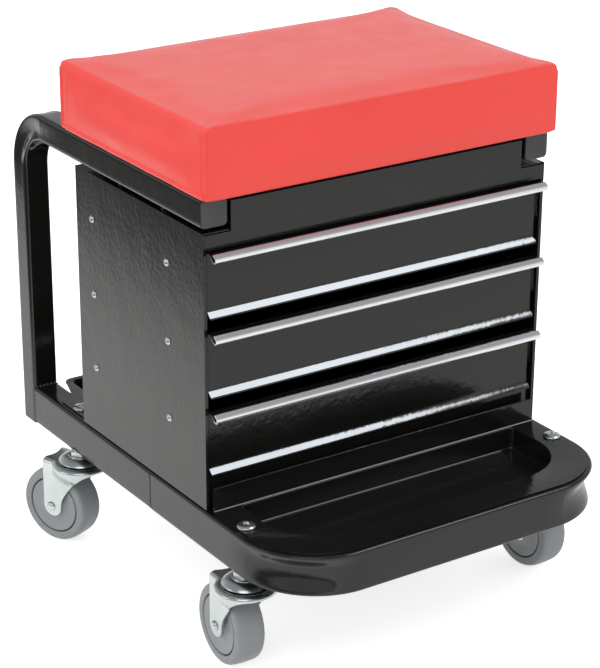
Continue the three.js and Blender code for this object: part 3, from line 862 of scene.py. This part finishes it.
def slide(number, side):
    """C-shaped channel with two rivets, made on the right and mirrored for the left."""
    lo, hi = piece_box(f"drawer_{number}_slide_right")
    mid_z = (lo[2] + hi[2]) / 2
    half = (hi[2] - lo[2]) / 2 - SLIDE_T
    web_x = SLIDE_X - 1.3 - SLIDE_T
    chamfer = 1.6
    line = [(lo[0], mid_z - half), (web_x - chamfer, mid_z - half),
            (web_x, mid_z - half + chamfer), (web_x, mid_z + half - chamfer),
            (web_x - chamfer, mid_z + half), (lo[0], mid_z + half)]
    parts = [extrude_y(sheet(smooth_profile(line), -SLIDE_T), lo[1], hi[1])]
    for y in (-46.5, 85.0):
        place = (Matrix.Translation((SLIDE_X + 0.02, y, mid_z))
                 @ Matrix.Rotation(math.pi / 2, 4, "Y"))
        parts.append(transform(lathe(RIVET_PROFILE, 40), place))
    part = join(parts)
    if side == "left":
        part = mirror_x(part)
    name = f"drawer_{number}_slide_{side}"
    build(name + "_channel", part, ZINC, ROOT, name, smooth=40)


for number in (1, 2, 3):
    for side in ("left", "right"):
        slide(number, side)

# ---------------------------------------------------------------- casters
# Local frame: the swivel axis is z and the wheel trails along +x.
FORK_R = 28.0  # outer radius of the round crown
CROWN_Z = 87.0
TRAIL = 25.5
WHEEL_R = 37.5
WHEEL_W = 28.6
FORK_T = 2.2
LEG_X, LEG_Z, LEG_R = 23.8, 38.6, 10.3  # round lower ends of the legs
LEG_Y = WHEEL_W / 2 + 0.5 + FORK_T  # outer side of the legs
HALF_W = WHEEL_W / 2

# x, z of the yoke's lower edge, from the leg's trailing side to the crown's leading side
YOKE_EDGE = [(LEG_X + LEG_R * math.cos(math.radians(a)), LEG_Z + LEG_R * math.sin(math.radians(a)))
             for a in range(0, -181, -6)] + [
    (13.2, 43), (11.6, 48), (8.8, 52.8), (5.2, 57.8), (1.4, 62.6), (-2.0, 66.4), (-6.0, 70.0),
    (-10.4, 73.6), (-14.2, 76.6), (-17.6, 79.2), (-20.6, 81.0), (-24, 82.2), (-28.1, 82.6),
]

# radius, z
BOWL_PROFILE = [
    (4.2, 88.0), (20.0, 88.0), (20.9, 88.05), (21.35, 88.3), (21.45, 88.7), (21.2, 89.1),
    (20.4, 89.9), (19.2, 90.95), (17.6, 91.9), (15.6, 92.75), (13.6, 93.3), (12.2, 93.6),
    (11.9, 94.2), (9.2, 94.4), (9.1, 99.6), (8.6, 100.6), (5.0, 100.7), (5.0, 123.5), (0.0, 124),
]
STEM_HEX = [(10.2, 94.1), (10.8, 94.6), (10.8, 99.0), (10.2, 99.5)]
KING_PIN = [(0, 80.3), (7.2, 80.4), (8, 81.0), (8, 82.1), (4, 82.2), (4, 88.4), (0, 88.4)]

# radius, place along the axle from the wheel's middle; half of each profile
TREAD_HALF = [
    (28.05, HALF_W - 2.4), (28.15, HALF_W - 1.4), (28.5, HALF_W - 0.85), (29.3, HALF_W - 0.6),
    (33.9, HALF_W - 0.65), (35.0, HALF_W - 1.0), (35.9, HALF_W - 1.8), (36.6, HALF_W - 3.0),
    (37.05, HALF_W - 4.8), (37.35, HALF_W - 7.6), (37.48, HALF_W - 10.8), (WHEEL_R, 0.0),
]
DISC_HALF = [
    (4.06, HALF_W + 0.1), (4.6, HALF_W + 0.25), (10.4, HALF_W + 0.25), (11.0, HALF_W),
    (11.6, HALF_W - 1.0), (13.5, HALF_W - 1.9), (18, HALF_W - 1.9), (23.5, HALF_W - 1.2),
    (26.0, HALF_W - 0.95), (26.75, HALF_W - 1.4), (26.95, HALF_W - 2.6), (27.0, HALF_W - 4),
]
GROOVE_HALF = [(26.9, HALF_W - 2.2), (28.1, HALF_W - 2.2)]

# radius, place along the axle: domed head at one end, thread end at the other
BOLT_SEAT = LEG_Y + 0.12
BOLT_PROFILE = [
    (0, BOLT_SEAT + 2.7), (1.7, BOLT_SEAT + 2.6), (3.1, BOLT_SEAT + 2.2), (4.1, BOLT_SEAT + 1.5),
    (4.7, BOLT_SEAT + 0.7), (4.85, BOLT_SEAT), (3.95, BOLT_SEAT), (3.95, -BOLT_SEAT - 4.2),
    (3.2, -BOLT_SEAT - 5.0), (0, -BOLT_SEAT - 5.0),
]
NUT_RINGS = [(6.4, -BOLT_SEAT - 4.0), (7.0, -BOLT_SEAT - 3.5), (7.0, -BOLT_SEAT - 0.5),
             (6.4, -BOLT_SEAT)]


def crown_blend(z):
    """0 on the legs, 1 on the round crown."""
    t = min(max((z - 63.0) / 20.0, 0.0), 1.0)
    return t * t * (3 - 2 * t)


def yoke_plan():
    """(x, y) of each column on the flat legs below, and on the round crown above."""
    meet_x = math.sqrt(FORK_R ** 2 - LEG_Y ** 2)  # where the legs touch the crown's circle
    leg_xs = [LEG_X + LEG_R - 0.02]
    leg_xs += [LEG_X + LEG_R * math.cos(math.radians(a)) for a in range(6, 180, 6)]
    leg_xs = [x for x in leg_xs if x > meet_x + 0.2] + [meet_x]
    low = [(x, LEG_Y) for x in leg_xs]
    top = list(low)
    # below, straight legs run on to a half circle round x = -6
    round_x = -6
    straight = meet_x - round_x
    full = straight + LEG_Y * math.pi / 2
    start = math.degrees(math.asin(LEG_Y / FORK_R))
    half = 110
    for k in range(1, 2 * half):
        angle = math.radians(start + (360 - 2 * start) * k / (2 * half))
        top.append((FORK_R * math.cos(angle), FORK_R * math.sin(angle)))
        distance = full * min(k, 2 * half - k) / half
        if distance < straight:
            x, y = meet_x - distance, LEG_Y
        else:
            angle = math.pi / 2 + (distance - straight) / LEG_Y
            x, y = round_x + LEG_Y * math.cos(angle), LEG_Y * math.sin(angle)
        low.append((x, y if k <= half else -y))
    last = [(x, -LEG_Y) for x in leg_xs[::-1]]
    return np.array(low + last), np.array(top + last)


def yoke_foot(low_x, top_x, highest):
    """Height where a blended column meets the lower edge, found by iteration."""
    edge_x = np.array([x for x, _ in YOKE_EDGE])[::-1]
    edge_z = np.array([z for _, z in YOKE_EDGE])[::-1]
    foot = float(np.interp(low_x, edge_x, edge_z))
    for _ in range(12):
        blend = crown_blend(foot)
        x = low_x * (1 - blend) + top_x * blend
        foot = 0.5 * foot + 0.5 * float(np.interp(x, edge_x, edge_z))
    return min(foot, highest)


def yoke():
    """Outer skin of the fork: flat legs that blend into a round, flat-topped crown."""
    low, top = yoke_plan()
    along = np.gradient(top, axis=0)
    along /= np.linalg.norm(along, axis=1)[:, None]
    inward = np.stack([-along[:, 1], along[:, 0]], 1)
    edge_rise, edge_reach = 3.4, 6.0  # rounding of the crown's upper edge
    shoulder_z = CROWN_Z - edge_rise
    rows = 18
    columns = []
    for (low_x, low_y), (top_x, top_y), (in_x, in_y) in zip(low, top, inward):
        foot = yoke_foot(low_x, top_x, shoulder_z - 0.9)
        column = []
        for k in range(rows + 1):
            z = foot + (shoulder_z - foot) * k / rows
            blend = crown_blend(z)
            column.append((low_x * (1 - blend) + top_x * blend,
                           low_y * (1 - blend) + top_y * blend, z))
        for angle in np.linspace(math.pi / 12, math.pi / 2, 6):
            reach = edge_reach * (1 - math.cos(angle))
            column.append((top_x + in_x * reach, top_y + in_y * reach,
                           shoulder_z + edge_rise * math.sin(angle)))
        columns.append(column)
    vertices = [point for column in columns for point in column]
    m = len(columns[0])
    faces = [(i * m + k, (i + 1) * m + k, (i + 1) * m + k + 1, i * m + k + 1)
             for i in range(len(columns) - 1) for k in range(m - 1)]
    # flat crown, closed by a slightly hollow edge on the trailing side
    first_y, last_y = columns[0][-1][1], columns[-1][-1][1]
    start = len(vertices)
    for t in (0.25, 0.5, 0.75):
        vertices.append((LEG_X + LEG_R - 3.0 * math.sin(math.pi * t),
                         last_y + (first_y - last_y) * t, CROWN_Z))
    faces.append(tuple([i * m + m - 1 for i in range(len(columns))]
                       + [start, start + 1, start + 2]))
    return vertices, faces


def hexagon(rings, turn=0.0):
    return loft([circle(radius, z, 6, turn) for radius, z in rings])


def other_half(half):
    return [(radius, -z) for radius, z in half[::-1]]


def on_axle(part, angle):
    """A part turned from the z axis onto the wheel's axle."""
    return transform(part, Matrix.Translation((TRAIL, 0, WHEEL_R))
                     @ Matrix.Rotation(angle, 4, "X"))


def caster(corner):
    swivel = Vector(JOINTS["swivel_" + corner]["pos_m"])
    wheel = Vector(JOINTS["spin_" + corner]["pos_m"])
    trail = Vector((wheel.x - swivel.x, wheel.y - swivel.y, 0)).normalized()
    turn = Matrix(((trail.x, -trail.y, 0, 0), (trail.y, trail.x, 0, 0), (0, 0, 1, 0),
                   (0, 0, 0, 1)))
    place = Matrix.Translation((swivel.x, swivel.y, 0)) @ turn
    fork_body, wheel_body = "fork_" + corner, "wheel_" + corner
    prefix = f"caster_{corner}_"

    name = prefix + "yoke"
    mesh, bm = welded(name, yoke(), distance=1e-6)
    bmesh.ops.triangulate(bm, faces=[f for f in bm.faces if len(f.verts) > 8])
    obj = pressed_sheet(name, mesh, bm, FORK_T - 0.1)
    obj.data.transform(place)
    finish_piece(obj, ZINC, fork_body, prefix + "fork", smooth=34, bevel=0.3)

    def put(name, part, material, body, replaces, smooth):
        obj = mesh_object(prefix + name, part)
        obj.data.transform(place)
        finish_piece(obj, material, body, replaces and prefix + replaces, smooth)

    def turned(profile, count=96):
        return on_axle(lathe(closed(profile), count, caps=False), math.pi / 2)

    # saucer with its stem, hexagon and king pin
    bowl = [lathe(BOWL_PROFILE, 96), hexagon(STEM_HEX, turn=12), lathe(KING_PIN, 48)]
    put("bowl", join(bowl), ZINC, ROOT, "mount", smooth=36)
    half = smooth_profile(TREAD_HALF)
    put("tread", turned(half + other_half(half)[1:], 112), TREAD, wheel_body, "tyre", smooth=50)
    put("disc", turned(DISC_HALF + other_half(DISC_HALF)), CORE, wheel_body, "hub", smooth=34)
    put("groove", turned(GROOVE_HALF + other_half(GROOVE_HALF)), GROOVE, wheel_body, None,
        smooth=40)
    bolt = join([lathe(BOLT_PROFILE, 64), hexagon(NUT_RINGS)])
    put("bolt", on_axle(bolt, -math.pi / 2), ZINC, fork_body, "axle", smooth=36)


for corner in CORNERS:
    caster(corner)

# ---------------------------------------------------------------- seat cushion (metres)
cushion_lo, cushion_hi = [[c * MM for c in end] for end in piece_box("seat_cushion")]
board_lo, board_hi = [[c * MM for c in end] for end in piece_box("seat_board")]


def coordinates(mesh):
    values = np.empty(len(mesh.vertices) * 3)
    mesh.vertices.foreach_get("co", values)
    return values.reshape(-1, 3)


def inflate(obj, rest):
    """Where pressure moves the cover, while it is pinned round the board and underneath."""
    x, y, z = rest.T
    pins = obj.vertex_groups.new(name="pin")
    near = ((np.abs(x) < board_hi[0] + 0.004) & (y > board_lo[1] - 0.004)
            & (y < board_hi[1] + 0.004) & (z < board_hi[2] + 0.006))
    low = z < cushion_lo[2] + 0.005
    pins.add(np.where(near | low)[0].tolist(), 1.0, "REPLACE")
    cloth = obj.modifiers.new("cloth", "CLOTH")
    settings = cloth.settings
    settings.quality = 5
    settings.mass = 0.25
    settings.tension_stiffness = settings.compression_stiffness = 22
    settings.shear_stiffness = 8
    settings.bending_stiffness = 0.6
    settings.use_pressure = True
    settings.uniform_pressure_force = 4.0
    settings.vertex_group_mass = "pin"
    settings.effector_weights.gravity = 0.0
    cloth.collision_settings.use_collision = False
    cloth.point_cache.frame_start = 1
    cloth.point_cache.frame_end = 20
    for number in range(1, 21):
        SCENE.frame_set(number)
    mesh = evaluated_mesh(obj)
    moved = coordinates(mesh)
    obj.modifiers.clear()
    bpy.data.meshes.remove(mesh)
    SCENE.frame_set(1)
    return moved


def even_out(move, mesh):
    """Movement capped at 6 mm, then averaged with the neighbours five times."""
    length = np.linalg.norm(move, axis=1)
    move = move * np.minimum(1.0, 0.006 / np.maximum(length, 1e-9))[:, None]
    edges = np.empty(len(mesh.edges) * 2, int)
    mesh.edges.foreach_get("vertices", edges)
    edges = edges.reshape(-1, 2)
    degree = np.bincount(edges.ravel(), minlength=len(move))[:, None]
    for _ in range(5):
        total = np.zeros_like(move)
        np.add.at(total, edges[:, 0], move[edges[:, 1]])
        np.add.at(total, edges[:, 1], move[edges[:, 0]])
        move = 0.5 * move + 0.5 * total / np.maximum(degree, 1)
    return move


def subdivide(obj, move):
    """One subdivision carries both the rest shape and the movement."""
    attribute = obj.data.attributes.new("move", "FLOAT_VECTOR", "POINT")
    attribute.data.foreach_set("vector", move.reshape(-1))
    subdivision = obj.modifiers.new("sub", "SUBSURF")
    subdivision.levels = subdivision.render_levels = 1
    mesh = apply_modifiers(obj)
    values = np.empty(len(mesh.vertices) * 3)
    mesh.attributes["move"].data.foreach_get("vector", values)
    mesh.attributes.remove(mesh.attributes["move"])
    return coordinates(mesh), values.reshape(-1, 3)


def shape_cover(points, move):
    """Cut foam under a sewn cover: firm corners and a top edge rolled over a small radius."""
    centre = np.array([(cushion_lo[0] + cushion_hi[0]) / 2,
                       (cushion_lo[1] + cushion_hi[1]) / 2, 0])
    half_x, half_y = cushion_hi[0] - centre[0], cushion_hi[1] - centre[1]
    radii = np.array([0.0034, 0.0034, 0.0078])
    top_z = cushion_hi[2] - 0.0016
    # the outer cover, not the pocket round the board
    outside = ((np.abs(points[:, 0]) > board_hi[0] + 0.0035)
               | (points[:, 1] < board_lo[1] - 0.0035) | (points[:, 1] > board_hi[1] + 0.0035)
               | (points[:, 2] > board_hi[2] + 0.0045))
    place = points - centre
    limit = np.array([half_x, half_y, top_z]) - radii
    core = np.clip(place, [-limit[0], -limit[1], -np.inf], limit)
    reach = place - core
    # the voxel skin sits a little inside the outline: stretch it out before rounding
    stretch = 0.0006
    for axis, half in ((0, half_x), (1, half_y)):
        near = np.abs(place[:, axis]) > half - 0.0075
        reach[:, axis] += np.sign(place[:, axis]) * near * stretch
    reach[:, 2] += (place[:, 2] > top_z - 0.009) * stretch
    reach /= radii
    length = np.linalg.norm(reach, axis=1)
    rolled = outside & (length > 1e-6)
    shaped = place.copy()
    shaped[rolled] = core[rolled] + (reach[rolled] / length[rolled][:, None]) * radii
    # points of flat sides that lie a little below the plane are brought up to it
    for axis, half in ((0, half_x), (1, half_y)):
        flat = outside & (np.abs(place[:, axis]) > half - 0.006) & ~rolled
        shaped[flat, axis] = np.sign(place[flat, axis]) * half
    x, y, z = shaped.T
    from_x, from_y = half_x - np.abs(x), half_y - np.abs(y)
    from_corner = np.hypot(from_x, from_y)
    # the movement fades out within 30 mm of the corner seams
    gain = 0.55 * np.minimum(from_corner / 0.030, 1.0)
    result = shaped + move * gain[:, None] * outside[:, None]
    # crown of 2.2 mm over the top
    bulge_x, bulge_y = np.clip(1 - (x / half_x) ** 2, 0, 1), np.clip(1 - (y / half_y) ** 2, 0, 1)
    top = np.clip((z - (top_z - 0.010)) / 0.010, 0, 1)
    result[:, 2] += 0.0022 * (bulge_x * bulge_y) ** 0.5 * top
    # the lowest 30 mm hang down a little, more towards the front and rear
    low = np.clip((cushion_lo[2] + 0.030 - z) / 0.030, 0, 1)
    drop = 0.0010 + 0.0014 * np.clip((np.abs(y - 0.002) - 0.062) / 0.012, 0, 1)
    result[:, 2] -= drop * low * outside
    # lap line: a shallow groove in the left and right sides beside each corner
    groove = np.exp(-(((from_y - 0.0052) / 0.0016) ** 2))
    groove = groove * (from_x < 0.010) * outside * (z < top_z - 0.006)
    result[:, 0] -= np.sign(x) * 0.0011 * groove
    # puckers fanning out of the tuck at each top corner
    fan = np.exp(-((from_corner - 0.012) / 0.010) ** 2)
    fan = fan * np.cos(np.arctan2(from_y, from_x) * 8) * (z > top_z - 0.010)
    result[:, 2] -= 0.00045 * fan
    return result + centre


def cushion():
    obj = add_object("seat_cushion_vinyl", PIECES["seat_cushion"].data.copy())
    remesh = obj.modifiers.new("remesh", "REMESH")
    remesh.mode = "VOXEL"
    remesh.voxel_size = 0.0042
    mesh = apply_modifiers(obj)
    rest = coordinates(mesh)
    moved = inflate(obj, rest)
    points, move = subdivide(obj, even_out(moved - rest, mesh))
    obj.data.vertices.foreach_set("co", shape_cover(points, move).reshape(-1))
    obj.data.update()
    return finish_piece(obj, VINYL, ROOT, "seat_cushion", smooth=70)


def sewn_strip(rays, normal, side, width, thickness):
    """A thin strip laid where (origin, direction) rays meet the cushion, tapered at its ends;
    side is the direction of its width."""
    # across the width, out from the cushion
    outline = [(-0.5, 0), (-0.5, 0.55), (-0.36, 0.9), (0, 1.0), (0.36, 0.9), (0.5, 0.55),
               (0.5, 0)]
    sink = 0.0004
    normal, side = Vector(normal).normalized(), Vector(side)
    side = (side - normal * side.dot(normal)).normalized()
    hits = [cover.ray_cast(Vector(origin), Vector(direction)) for origin, direction in rays]
    points = [location for hit, location, _, _ in hits if hit]
    rings = []
    for i, point in enumerate(points):
        local = width * (0.35 + 0.65 * min(1.0, min(i, len(points) - 1 - i) / 3))
        rings.append([tuple((point + side * (across * local)
                             + normal * (out * thickness - sink)) / MM)
                      for across, out in outline])
    return rings


def corner_seam(side_x, side_y):
    """Folded seam up one corner."""
    bottom = cushion_lo[2] - 0.0008
    height = cushion_hi[2] - 0.0075 - cushion_lo[2] + 0.0008
    start_y = cushion_lo[1] - 0.02 if side_y < 0 else cushion_hi[1] + 0.02
    inward = Vector((-side_x, -side_y, 0)).normalized()
    rays = []
    for k in range(27):
        wobble = 0.00035 * noise.noise(Vector((k * 0.35, side_x * 3.1, side_y * 5.3)))
        rays.append(((side_x * (cushion_hi[0] + 0.02), start_y + wobble,
                      bottom + height * k / 26), inward))
    return sewn_strip(rays, normal=(side_x, side_y, 0), side=(side_x, -side_y, 0),
                      width=0.0024, thickness=0.0013)


def hem(side_x):
    """Turned hem along one side's lower edge."""
    length = cushion_hi[1] - cushion_lo[1] - 0.008
    rays = []
    for k in range(61):
        wobble = 0.0004 * noise.noise(Vector((k * 0.2, side_x, 0)))
        rays.append(((side_x * (cushion_hi[0] + 0.02), cushion_lo[1] + 0.004 + length * k / 60,
                      cushion_lo[2] + 0.0012 + wobble), (-side_x, 0, 0)))
    return sewn_strip(rays, normal=(side_x, 0, 0), side=(0, 0, 1), width=0.0042,
                      thickness=0.0014)


cover = cushion()
seams = [corner_seam(side_x, side_y) for side_x in (-1, 1) for side_y in (-1, 1)]
# a seam that meets the cover in fewer than five places is left out
seams = [rings for rings in seams if len(rings) > 4] + [hem(-1), hem(1)]
build("seat_cushion_seams", join([loft(rings) for rings in seams]), VINYL, ROOT, smooth=50)


# ---------------------------------------------------------------- studio (metres)
def studio_floor():
    """White paper: plain to diffuse rays, lifted for the camera, graded in reflections."""
    size, z = 9000, -0.3  # mm
    floor = mesh_object("studio_floor", (
        [(-size, -size, z), (size, -size, z), (size, size, z), (-size, size, z)],
        [(0, 1, 2, 3)]))
    mat = Shader("studio_floor")
    mat.set(Base_Color=mat.mix(mat.remap(mat.noise(scale=0.8, detail=2), to=(0, 1)),
                               (0.93, 0.93, 0.93), (0.95, 0.95, 0.95)),
            Roughness=0.9, Specular_IOR_Level=0.1)
    # mirror-like paint sees the paper brightest beside the object and dimmer farther out
    position = mat.node("ShaderNodeSeparateXYZ")
    mat.link(mat.coords, position.inputs[0])
    ramp = mat.node("ShaderNodeValToRGB")
    mat.link(mat.remap(position.outputs["X"], to=(0, 1), source=(-1.5, 1.5)), ramp.inputs["Fac"])
    set_ramp(ramp, first=(0.16, 0.16, 0.16), last=(0.75, 0.75, 0.75), between=(
        (0.10, 0.16), (0.26, 0.24), (0.283, 0.52), (0.305, 0.95), (0.335, 1.28), (0.37, 1.38),
        (0.44, 1.15), (0.50, 1.0), (0.75, 0.9)), blue=0.985)
    reflected = mat.node("ShaderNodeEmission")
    mat.link(ramp.outputs["Color"], reflected.inputs["Color"])
    rays = mat.node("ShaderNodeLightPath")
    glossy_mix = mat.node("ShaderNodeMixShader")
    mat.link(rays.outputs["Is Glossy Ray"], glossy_mix.inputs[0])
    glow = mat.node("ShaderNodeEmission", Strength=0.66)
    lifted = mat.node("ShaderNodeAddShader")
    camera_mix = mat.node("ShaderNodeMixShader")
    paper = mat.principled.outputs[0]
    mat.link(paper, lifted.inputs[0])
    mat.link(glow.outputs[0], lifted.inputs[1])
    mat.link(rays.outputs["Is Camera Ray"], camera_mix.inputs[0])
    mat.link(paper, camera_mix.inputs[1])
    mat.link(lifted.outputs[0], camera_mix.inputs[2])
    mat.link(camera_mix.outputs[0], glossy_mix.inputs[1])
    mat.link(reflected.outputs[0], glossy_mix.inputs[2])
    mat.link(glossy_mix.outputs[0], mat.tree.nodes["Material Output"].inputs["Surface"])
    floor.data.materials.append(mat.material)


def studio_world():
    """White surroundings, seen by glossy rays as a gradient that darkens upwards."""
    world = bpy.data.worlds.new("studio")
    SCENE.world = world
    world.use_nodes = True
    sky = Nodes(world.node_tree)
    background = sky.tree.nodes["Background"]
    coords = sky.node("ShaderNodeTexCoord")
    direction = sky.node("ShaderNodeSeparateXYZ")
    sky.link(coords.outputs["Generated"], direction.inputs[0])
    ramp = sky.node("ShaderNodeValToRGB")
    set_ramp(ramp, first=(0.80, 0.80, 0.80), last=(0.34, 0.34, 0.36), between=(
        (0.10, 0.78), (0.30, 0.62), (0.55, 0.42), (0.75, 0.34)), blue=1.02)
    sky.link(direction.outputs["Z"], ramp.inputs["Fac"])
    rays = sky.node("ShaderNodeLightPath")
    mix = sky.node("ShaderNodeMix", data_type="RGBA")
    mix.inputs[MIX_B].default_value = (1, 1, 1, 1)
    not_glossy = sky.node("ShaderNodeMath", operation="SUBTRACT")
    not_glossy.inputs[0].default_value = 1.0
    sky.link(rays.outputs["Is Glossy Ray"], not_glossy.inputs[1])
    sky.link(not_glossy.outputs[0], mix.inputs[0])
    sky.link(ramp.outputs["Color"], mix.inputs[MIX_A])
    sky.link(mix.outputs[MIX_RESULT], background.inputs["Color"])
    background.inputs["Strength"].default_value = 1.0


def area_light(name, location, target, size, power):
    light = bpy.data.lights.new(name, "AREA")
    light.energy = power
    light.size = size
    obj = add_object(name, light)
    obj.location = location
    obj.rotation_euler = (Vector(target) - Vector(location)).to_track_quat("-Z", "Y").to_euler()
    return obj


def overhead_strip(name, z, power):
    """A cool rectangle that shows in reflections only."""
    obj = area_light(name, (1.15, -0.95, z), (0, -0.1, 0.3), size=1.3, power=power)
    obj.data.shape = "RECTANGLE"
    obj.data.size_y = 0.8
    obj.data.color = (0.90, 0.95, 1.0)
    obj.visible_diffuse = False
    return obj


def light_only(light, parts):
    """Limits a light to the meshes whose names hold one of the parts."""
    receivers = bpy.data.collections.new(light.name + "_receivers")
    for obj in bpy.data.objects:
        if obj.type == "MESH" and any(part in obj.name for part in parts):
            receivers.objects.link(obj)
    light.light_linking.receiver_collection = receivers


def studio_lights():
    area_light("key", (-1.3, -1.3, 2.2), (0, 0, 0.2), size=1.4, power=10)
    area_light("fill", (-2.2, 0.6, 1.0), (0, 0, 0.25), size=1.0, power=4)
    strong = overhead_strip("overhead_strip", z=2.05, power=62)
    weak = overhead_strip("overhead_strip_low", z=2.04, power=16)
    light_only(strong, ("_face",))
    light_only(weak, ("_pressed", "bumper_bent", "_tube", "_yoke", "_bowl", "_bolt", "_head",
                      "cabinet_", "_moulded"))


def studio_camera():
    """High view from the front left through a long lens."""
    data = bpy.data.cameras.new("camera")
    data.lens = 119.9
    data.sensor_width = 36
    data.clip_end = 30
    camera = add_object("camera", data)
    location = Vector((-1.0648, -1.58055, 1.0106))
    target = Vector((0.0156, 0.04275, 0.2103))
    roll = math.radians(0.27)
    aim = (target - location).to_track_quat("-Z", "Y").to_matrix().to_4x4()
    camera.matrix_world = Matrix.Translation(location) @ aim @ Matrix.Rotation(roll, 4, "Z")
    SCENE.camera = camera


studio_floor()
studio_world()
studio_lights()
studio_camera()
